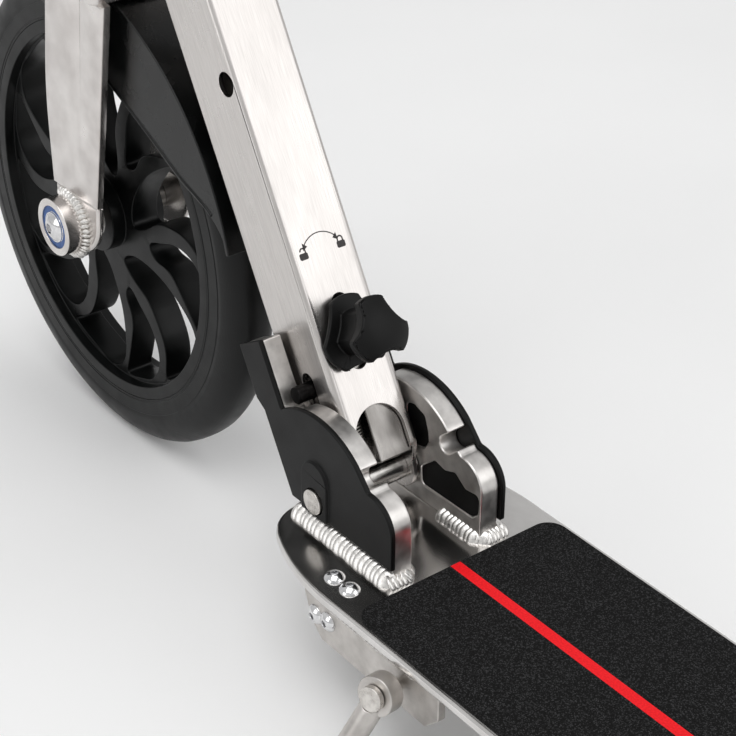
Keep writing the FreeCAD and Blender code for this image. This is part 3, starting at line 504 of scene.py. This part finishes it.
# ---- Wheels ---------------------------------------------------------------------------------
# Rims of glass-filled nylon with six forked, curved spokes, on sealed ball bearings. The
# tyres are cast polyurethane, moulded round the rim and turned smooth on a lathe.

# Glass-filled nylon: satin black with a soft flow of the glass fibres.
filled_nylon, tree, shader = surface("glass_filled_nylon", "#0B0B0B", 0.0, 0.36,
                                      Specular_IOR_Level=0.2)
flow = grain(tree, (12 * MM, 12 * MM, 12 * MM))
fibre = grain(tree, (0.35 * MM,) * 3, detail=4.0)
tint(tree, shader, flow.outputs[0], "#050606", "#090A0A")
roughen(tree, shader, flow.outputs[0], 0.3, 0.44)
relief(tree, shader, fibre.outputs[0], 0.012 * MM)

front = (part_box("front_axle")[0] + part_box("front_axle")[1]) / 2
rear = (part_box("rear_axle")[0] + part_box("rear_axle")[1]) / 2
for end, axle in (("front", front), ("rear", rear)):
    eased(end + "_rim", filled_nylon, 0.5, joined_up=False)

    # Cast polyurethane: smooth, slightly glossy, with the lathe's rings 0.9 mm apart.
    rubbery, tree, shader = surface(end + "_cast_polyurethane", "#0B0C0C", 0.0, 0.4,
                                        Specular_IOR_Level=0.2)
    place = add(tree, "TexCoord")
    centred = add(tree, "Mapping", [("Vector", place.outputs["Object"]), ("Location", axle)],
                  vector_type="TEXTURE")
    flat = add(tree, "VectorMath", [(0, centred.outputs[0]), (1, (1, 0, 1))], operation="MULTIPLY")
    radius = add(tree, "VectorMath", [(0, flat.outputs[0])], operation="LENGTH")
    phase = add(tree, "Math", [(0, radius.outputs[1]), (1, 2 * math.pi / (0.9 * MM))],
                operation="MULTIPLY")
    rings = add(tree, "Math", [(0, phase.outputs[0])], operation="SINE")
    relief(tree, shader, rings.outputs[0], 0.012 * MM, 0.7)
    dust = grain(tree, (9 * MM,) * 3, detail=5.0)
    tint(tree, shader, dust.outputs[0], "#060707", "#0B0C0C")
    roughen(tree, shader, dust.outputs[0], 0.32, 0.46)

    # Half of the tyre's section as (across, radius): bead, sidewall ring, step, shoulder, tread.
    half = [(13.0, 99.0), (13.0, 99.6), (12.7, 100.0), (12.7, 100.4), (13.0, 100.8),
            (13.0, 107.4), (12.75, 107.8), (12.75, 108.2), (12.9, 108.8), (12.85, 110.5),
            (12.5, 113.2), (11.8, 116.2), (10.7, 119.1), (9.0, 121.8), (7.0, 123.6),
            (4.8, 124.6), (2.4, 124.93), (0.0, 125.0)]
    section = half + [(-a, r) for a, r in reversed(half[:-1])]
    bm = bmesh.new()
    verts = [bm.verts.new(axle + Vector((r, a, 0)) * MM) for a, r in section]
    loop = [bm.edges.new((verts[i], verts[(i + 1) % len(verts)])) for i in range(len(verts))]
    bmesh.ops.spin(bm, geom=verts + loop, cent=axle, axis=(0, 1, 0), dvec=(0, 0, 0),
                   angle=2 * math.pi, steps=180, use_merge=True)
    bmesh.ops.recalc_face_normals(bm, faces=bm.faces)
    settle(bm, end + "_tyre_turned", end + "_wheel", rubbery, [end + "_tyre"],
           sharp=28)

# Bearing steel with its rubber shield: mid grey, near mirror on the ground rings.
bearing_steel, tree, shader = surface("ground_bearing_steel", "#B4B2AF", 1.0, 0.2)
ground = grain(tree, (4 * MM,) * 3)
tint(tree, shader, ground.outputs[0], "#A3A19E", "#C6C4C1")
roughen(tree, shader, ground.outputs[0], 0.15, 0.28)
for node in ("front_wheel_bearings", "rear_wheel_bearings", "headset_bearings"):
    eased(node, bearing_steel, 0.3)
for node in ("front_bearing_spacer", "rear_bearing_spacer"):
    eased(node, satin, 0.3)

# ---- Rear brake -----------------------------------------------------------------------------
# The rear mudguard is the brake: pressed down by foot, its rubber pad rubs on the tyre.

# Glossy ABS: wet-looking black with long soft reflections.
glossy, tree, shader = surface("glossy_abs", "#080909", 0.0, 0.24, Specular_IOR_Level=0.3)
ripple = grain(tree, (16 * MM,) * 3)
tint(tree, shader, ripple.outputs[0], "#050606", "#080909")
roughen(tree, shader, ripple.outputs[0], 0.22, 0.31)
relief(tree, shader, ripple.outputs[0], 0.02 * MM)
eased("rear_fender", glossy, 0.8, 3)
eased("brake_pad", soft_black, 0.6)

# ---- Neck -----------------------------------------------------------------------------------
# A 36 by 35 mm rectangular aluminium tube with its faces brushed lengthwise and its corners
# buffed, welded to the steering head. Its foot turns on the pivot bolt.

TUBE_LEAN = math.radians(90 - 60.2)
STEERING_LEAN = math.radians(10)
up_tube = Matrix.Translation(pivot) @ Matrix.Rotation(TUBE_LEAN, 4, "Y")

# Brushed tube: strokes along it, 0.05 mm apart, drawn 0.35 mm apart and 12 mm long.
brushed_tube, tree, shader = surface("brushed_tube_aluminium", "#CBC7C4", 1.0, 0.3)
strokes = grain(tree, (0.35 * MM, 0.35 * MM, 12 * MM), turn=(0, TUBE_LEAN, 0))
shade = grain(tree, (20 * MM, 20 * MM, 60 * MM), turn=(0, TUBE_LEAN, 0))
tint(tree, shader, strokes.outputs[0], "#C8C4C1", "#D6D2CF")
roughen(tree, shader, shade.outputs[0], 0.24, 0.34)
relief(tree, shader, strokes.outputs[0], 0.004 * MM)
eased("down_tube", brushed_tube, 0.25)

# Turned aluminium: rings too fine to see, a smooth satin that stretches reflections.
turned, tree, shader = surface("turned_aluminium", "#D2CFCC", 1.0, 0.24)
cloudy = grain(tree, (12 * MM,) * 3)
lathe = grain(tree, (9 * MM, 9 * MM, 0.4 * MM), turn=(0, -STEERING_LEAN, 0))
tint(tree, shader, cloudy.outputs[0], "#C4C1BE", "#DFDCD9")
relief(tree, shader, lathe.outputs[0], 0.005 * MM)
eased("head_tube", turned, 0.8)
eased("headset_cups", turned, 0.5)
eased("headset_races", turned, 0.5)

eased("pivot_bushes", bearing_steel, 0.3)

# ---- Lock marks -----------------------------------------------------------------------------
# Pad-printed in dark grey on the tube's rear face: an open and a closed padlock, and a curved
# arrow with two heads between them, to say which way the knob frees the lock.

ink, tree, shader = surface("pad_print_ink", "#2B2727", 0.0, 0.5)
tint(tree, shader, grain(tree, (0.8 * MM,) * 3).outputs[0], "#262222", "#332F2F")
rear_face = -17.92
marks = bmesh.new()


def flat_shape(points):
    """A printed area from (side, up) points on the tube's rear face, 0.04 mm thick."""
    corners = [marks.verts.new(up_tube @ (Vector((rear_face, y, z)) * MM)) for y, z in points]
    face = marks.faces.new(corners)
    out = bmesh.ops.extrude_face_region(marks, geom=[face])
    moved = [v for v in out["geom"] if isinstance(v, bmesh.types.BMVert)]
    bmesh.ops.translate(marks, verts=moved, vec=up_tube.to_3x3() @ Vector((-0.04 * MM, 0, 0)))


def band(centre, radius, width, start, end, steps=14):
    """A printed arc, angles from the tube's left towards its top."""
    outer, inner = [], []
    for i in range(steps + 1):
        angle = math.radians(start + (end - start) * i / steps)
        for ring, r in ((outer, radius + width / 2), (inner, radius - width / 2)):
            ring.append((centre[0] + r * math.cos(angle), centre[1] + r * math.sin(angle)))
    flat_shape(outer + inner[::-1])


for y, opened in ((10.4, True), (-9.6, False)):
    z = 103.7
    flat_shape([(y - 2.2, z - 1.1), (y - 1.7, z - 1.6), (y + 1.7, z - 1.6), (y + 2.2, z - 1.1),
                (y + 2.2, z + 0.9), (y + 1.7, z + 1.4), (y - 1.7, z + 1.4), (y - 2.2, z + 0.9)])
    band((y, z + 2.2), 1.3, 0.7, 0, 180)
    for left in (y - 1.65,) if opened else (y - 1.65, y + 0.95):
        flat_shape([(left, z + 1.3), (left + 0.7, z + 1.3), (left + 0.7, z + 2.25),
                    (left, z + 2.25)])
band((0.6, 100.5), 11.2, 0.5, 42, 138)
flat_shape([(9.9, 105.9), (9.6, 109.3), (7.4, 107.3)])
flat_shape([(-8.7, 105.9), (-6.2, 107.3), (-8.4, 109.3)])
bmesh.ops.recalc_face_normals(marks, faces=marks.faces)
settle(marks, "lock_marks", "neck", ink)

# ---- Lock -----------------------------------------------------------------------------------
# A cast block slides in the tube on a steel pin, pulled down by a coil spring. The star knob
# on its stem draws the pin out of the cheeks' slots.

die_cast, tree, shader = surface("polished_die_casting", "#BDBAB7", 1.0, 0.2)
flowed = grain(tree, (8 * MM,) * 3, detail=4.0)
tint(tree, shader, flowed.outputs[0], "#ACA9A6", "#CFCCC9")
roughen(tree, shader, flowed.outputs[0], 0.14, 0.28)

# The block sits in the tube's shade, so its metal is painted darker: painted shade. It is nearly a
# mirror.
shaded_block_metal, tree, shader = surface("block_painted_shade_metal", "#8E8B88", 1.0, 0.24)
block_mottle = grain(tree, (7 * MM, 7 * MM, 20 * MM), turn=(0, TUBE_LEAN, 0))
tint(tree, shader, block_mottle.outputs[0], "#7C7976", "#A19E9B")
roughen(tree, shader, block_mottle.outputs[0], 0.18, 0.3)
eased("lock_block", shaded_block_metal, 0.8, 3)

# Hardened pin, blackened in hot oxide: nearly black, with a slight oily shine.
blackened, tree, shader = surface("black_oxide_steel", "#1C1B1B", 1.0, 0.4)
oily = grain(tree, (1.5 * MM,) * 3)
tint(tree, shader, oily.outputs[0], "#171616", "#232222")
relief(tree, shader, oily.outputs[0], 0.01 * MM)
eased("lock_pin", blackened, 0.5)
eased("lock_stem", bearing_steel, 0.4)

pull = bmesh.new()
coil(pull, (-9.4 * MM, 9.2 * MM, 13.6 * MM), (0, 0, 1), 4.3 * MM, 1.2 * MM, 1.37 * MM, 17)
bmesh.ops.transform(pull, matrix=up_tube, verts=pull.verts)
settle(pull, "lock_spring_coil", "lock", wire_steel, ["lock_spring"], sharp=60)

eased("lock_knob", moulded, 0.8, 3, 40, joined_up=False)

# ---- Fork -----------------------------------------------------------------------------------
# Forged and polished aluminium legs with a groove down the outside, welded to round dropouts.
# Each dropout has a ball bearing in a boss with a blue seal, and a button screw.

# Forged and polished: a warm silver with soft broad reflections.
forged, tree, shader = surface("polished_forging", "#D6D1CE", 1.0, 0.22)
broad = grain(tree, (16 * MM,) * 3)
tint(tree, shader, broad.outputs[0], "#C9C4C1", "#E2DEDB")
roughen(tree, shader, broad.outputs[0], 0.17, 0.28)
relief(tree, shader, grain(tree, (0.4 * MM,) * 3).outputs[0], 0.005 * MM)



def carved(bm, tool):
    """One closed bmesh with another cut out of it."""
    pair = []
    for part in (bm, tool):
        mesh = bpy.data.meshes.new("carving")
        part.to_mesh(mesh)
        part.free()
        pair.append(bpy.data.objects.new("carving", mesh))
        bpy.context.scene.collection.objects.link(pair[-1])
    cut = pair[0].modifiers.new("cut", "BOOLEAN")
    cut.object = pair[1]
    cut.operation = "DIFFERENCE"
    cut.solver = "EXACT"
    seen = pair[0].evaluated_get(bpy.context.evaluated_depsgraph_get())
    result = bmesh.new()
    result.from_mesh(seen.to_mesh())
    seen.to_mesh_clear()
    for piece in pair:
        mesh = piece.data
        bpy.data.objects.remove(piece)
        bpy.data.meshes.remove(mesh)
    return result


LEG_INNER = 25.0
LEG_OUTER = 29.5
leg_outline = [(12, 18), (13, 67), (3, 133), (-48, 127), (-40, 83), (-33, 43), (-28, 18)]
groove = [(-16.6, 29.7, 25), (-16.5, 30.3, 150), (-34, 30.3, 150), (-26, 26.6, 150)]
legs = bmesh.new()
for side in (1, -1):
    inner = front + Vector((0, side * LEG_INNER * MM, 0))
    leg = slab(inner, leg_outline, side * (LEG_OUTER - LEG_INNER))
    knees = [e for e in across(leg) if 40 * MM < e.verts[0].co.z - front.z < 100 * MM]
    rounded(leg, knees, 16, 5)
    face_y = side * LEG_OUTER * MM
    rims = [e for e in leg.edges if all(abs(v.co.y - face_y) < 0.01 * MM for v in e.verts)]
    rounded(leg, rims, 1.8, 5)
    wedge = bmesh.new()
    tip, left, far, deep = [wedge.verts.new(front + Vector((x, side * y, z)) * MM)
                            for x, y, z in groove]
    for trio in ((tip, left, far), (tip, far, deep), (tip, deep, left), (left, deep, far)):
        wedge.faces.new(trio)
    bmesh.ops.recalc_face_normals(wedge, faces=wedge.faces)
    joined(legs, carved(leg, wedge))
settle(legs, "fork_legs_forged", "steering", forged, ["fork_legs"], sharp=26)

eased("fork_crown", forged, 1.5, 3)
eased("fork_dropouts", forged, 1.6, 3)
eased("axle_bosses", forged, 0.5)

# Bearing shield: blue rubber, satin.
shield, tree, shader = surface("blue_nitrile_shield", "#24508F", 0.0, 0.4)
tint(tree, shader, grain(tree, (1.5 * MM,) * 3).outputs[0], "#1E467F", "#2C5A9C")
relief(tree, shader, grain(tree, (0.3 * MM,) * 3).outputs[0], 0.01 * MM)
eased("boss_bearings", shield, 0.3)

BEAD_R = 16.2
BEAD_Y = 28.4
fork_beads = bmesh.new()
around = [math.radians(t) for t in range(75, 300, 17)]
spots = [Vector((math.cos(t), 0, math.sin(t))) for t in around]
for side in (1, -1):
    middle = front / MM + Vector((0, side * BEAD_Y, 0))
    for here, there in zip(spots, spots[1:]):
        dabs(fork_beads, middle + here * BEAD_R, middle + there * BEAD_R,
             here + Vector((0, side * 0.8, 0)), 3.0, 2.3)
settle(fork_beads, "fork_weld_beads", "steering", weld_alloy, ["fork_welds"], sharp=50)

# ---- Front mudguard -------------------------------------------------------------------------
# Injection-moulded glossy ABS, screwed under the fork crown, with deep side skirts.

eased("front_fender", glossy, 0.7, 3)


def smooth_path(points, steps):
    """Points along a smooth curve through all but the first and last of some points."""
    path = []
    for before, start, end, after in zip(points, points[1:], points[2:], points[3:]):
        for step in range(steps):
            k = step / steps
            path.append(0.5 * (2 * start + (end - before) * k
                               + (2 * before - 5 * start + 4 * end - after) * k ** 2
                               + (3 * start - before - 3 * end + after) * k ** 3))
    return path


# A raised lip stiffens the skirts' lower edge, given as radius and angle about the axle.
LIP_Y = 19.3
LIP_R = 0.9
edge = [(130.0, 164.8), (124.8, 157.6), (106.7, 147.5), (95.6, 134.5), (89.6, 114.0),
        (95.6, 92.5), (111.3, 76.0), (129.0, 64.5)]
edge = [Vector((r * math.cos(math.radians(t)), 0, r * math.sin(math.radians(t)))) for r, t in edge]
path = smooth_path(edge, 8)
sideways = Vector((0, 1, 0))
lips = bmesh.new()
for side in (1, -1):
    rings = []
    for here, there in zip(path, path[1:]):
        inward = (there - here).normalized().cross(sideways)
        centre = front + (here + side * LIP_Y * sideways) * MM
        rings.append([centre + (inward * math.cos(t) + sideways * math.sin(t)) * LIP_R * MM
                      for t in (math.radians(36 * i) for i in range(10))])
    one = bmesh.new()
    ringed(one, rings)
    joined(lips, one)
settle(lips, "front_fender_lips", "steering", glossy, sharp=50)

# ---- Steering column ------------------------------------------------------------------------
# An aluminium tube pressed into the crown, slit at the top, with a clamp collar, a steel
# skewer and a cast cam lever.

# Anodised tube: clear satin anodising, even and slightly warm.
anodised, tree, shader = surface("clear_anodised_tube", "#C9C6C2", 1.0, 0.3)
veil = grain(tree, (22 * MM,) * 3)
tint(tree, shader, veil.outputs[0], "#BFBCB8", "#D2CFCB")
drawn_out = grain(tree, (0.3 * MM, 0.3 * MM, 15 * MM), turn=(0, -STEERING_LEAN, 0))
relief(tree, shader, drawn_out.outputs[0], 0.005 * MM)
eased("column_tube", anodised, 0.6)
eased("stem_tube", anodised, 0.5)
eased("clamp_collar", die_cast, 0.9, 3)
eased("clamp_skewer", zinc, 0.4)
eased("clamp_lever", moulded, 1.2, 3)

# ---- Handlebar ------------------------------------------------------------------------------
# Two aluminium bar ends push into a cast T-piece and click behind spring buttons. The grips
# are moulded rubber with ribs.

eased("bar_tee", die_cast, 1.4, 3)
eased("bars", anodised, 0.6)
eased("bar_button_left", bearing_steel, 0.6)
eased("bar_button_right", bearing_steel, 0.6)

grips_low, grips_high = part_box("grips")
bar_at = (grips_low + grips_high) / 2
grip_end = grips_high.y / MM
grips = bmesh.new()
for side in (1, -1):
    outline = [(grip_end - 126, 12.8), (grip_end - 126, 18.0), (grip_end - 125.3, 18.7),
               (grip_end - 122.8, 18.7), (grip_end - 122.0, 18.0), (grip_end - 121.6, 15.6)]
    for rib in range(18):
        y = grip_end - 118.5 + rib * 6.0
        outline += [(y, 15.2), (y + 0.7, 16.4), (y + 3.6, 16.4), (y + 4.3, 15.2)]
    outline += [(grip_end - 7.5, 15.4), (grip_end - 6.8, 16.5), (grip_end - 1.2, 16.5),
                (grip_end - 0.3, 15.6), (grip_end, 14.0), (grip_end, 0.05)]
    one = bmesh.new()
    verts = [one.verts.new(bar_at + Vector((r * MM, 0, 0)) + Vector((0, side * y * MM, 0)))
             for y, r in outline]
    edges = [one.edges.new((verts[i], verts[i + 1])) for i in range(len(verts) - 1)]
    bmesh.ops.spin(one, geom=verts + edges, cent=bar_at, axis=(0, 1, 0), dvec=(0, 0, 0),
                   angle=2 * math.pi, steps=48, use_merge=True)
    bmesh.ops.recalc_face_normals(one, faces=one.faces)
    joined(grips, one)
settle(grips, "ribbed_grips", "stem", soft_black, ["grips"], sharp=40)

# ---- Floor, light and camera ----------------------------------------------------------------
# A plain white floor, large soft lights and a long lens behind and to the left of the deck.

floor_white, tree, shader = surface("white_floor", "#F4F4F4", 0.0, 0.9)
tint(tree, shader, grain(tree, (0.4, 0.4, 0.4)).outputs[0], "#F2F2F2", "#F6F6F6")
bm = bmesh.new()
bmesh.ops.create_grid(bm, x_segments=2, y_segments=2, size=60.0)
mesh = bpy.data.meshes.new("floor")
bm.to_mesh(mesh)
bm.free()
mesh.materials.append(floor_white)
floor = bpy.data.objects.new("floor", mesh)
bpy.context.scene.collection.objects.link(floor)

world = bpy.data.worlds.new("studio")
bpy.context.scene.world = world
world.use_nodes = True
sky = world.node_tree
way = add(sky, "TexCoord")
toward = add(sky, "VectorMath", [(0, way.outputs["Generated"]), (1, (0.815, -0.2, 0.544))],
             operation="DOT_PRODUCT")
dark = add(sky, "MapRange", [("Value", toward.outputs["Value"]), ("From Min", 0.9),
                             ("From Max", 0.932), ("To Min", 0.0), ("To Max", 1.0)],
           interpolation_type="SMOOTHSTEP")
paint = add(sky, "Mix", [(0, dark.outputs[0]), (6, (0.8, 0.8, 0.8, 1)),
                         (7, (0.05, 0.05, 0.05, 1))], data_type="RGBA")
sky.links.new(paint.outputs[2], sky.nodes["Background"].inputs["Color"])
sky.nodes["Background"].inputs["Strength"].default_value = 0.8


def softbox(name, at, aim, size, power):
    """A square area light that faces a point."""
    lamp = bpy.data.lights.new(name, "AREA")
    lamp.shape = "SQUARE"
    lamp.size = size
    lamp.energy = power
    holder = bpy.data.objects.new(name, lamp)
    holder.location = at
    holder.rotation_euler = (Vector(aim) - Vector(at)).to_track_quat("-Z", "Y").to_euler()
    holder.visible_camera = False
    bpy.context.scene.collection.objects.link(holder)


softbox("key", (-2.2, -1.4, 1.6), (0.1, 0, 0.15), 2.0, 15)
softbox("overhead", (-0.3, 0.6, 2.8), (0.1, 0, 0.1), 2.4, 36)
softbox("left", (0.3, 2.6, 1.2), (0.1, 0, 0.2), 1.6, 10)

eye = Vector((-0.3981, 0.4441, 0.5704))
ahead = Vector((0.6707, -0.5261, -0.5228))
level = Vector((-0.6172, -0.7868, 0.0))
steep = level.cross(ahead)
roll = math.radians(0.39)
right = level * math.cos(roll) + steep * math.sin(roll)
up = steep * math.cos(roll) - level * math.sin(roll)
camera = bpy.data.cameras.new("camera")
camera.sensor_width = 36
camera.lens = 95.2
camera.clip_start = 0.02
camera.clip_end = 100
holder = bpy.data.objects.new("camera", camera)
holder.matrix_world = Matrix.Translation(eye) @ Matrix((right, up, -ahead)).transposed().to_4x4()
bpy.context.scene.collection.objects.link(holder)
bpy.context.scene.camera = holder
bpy.context.scene.view_settings.view_transform = "Standard"
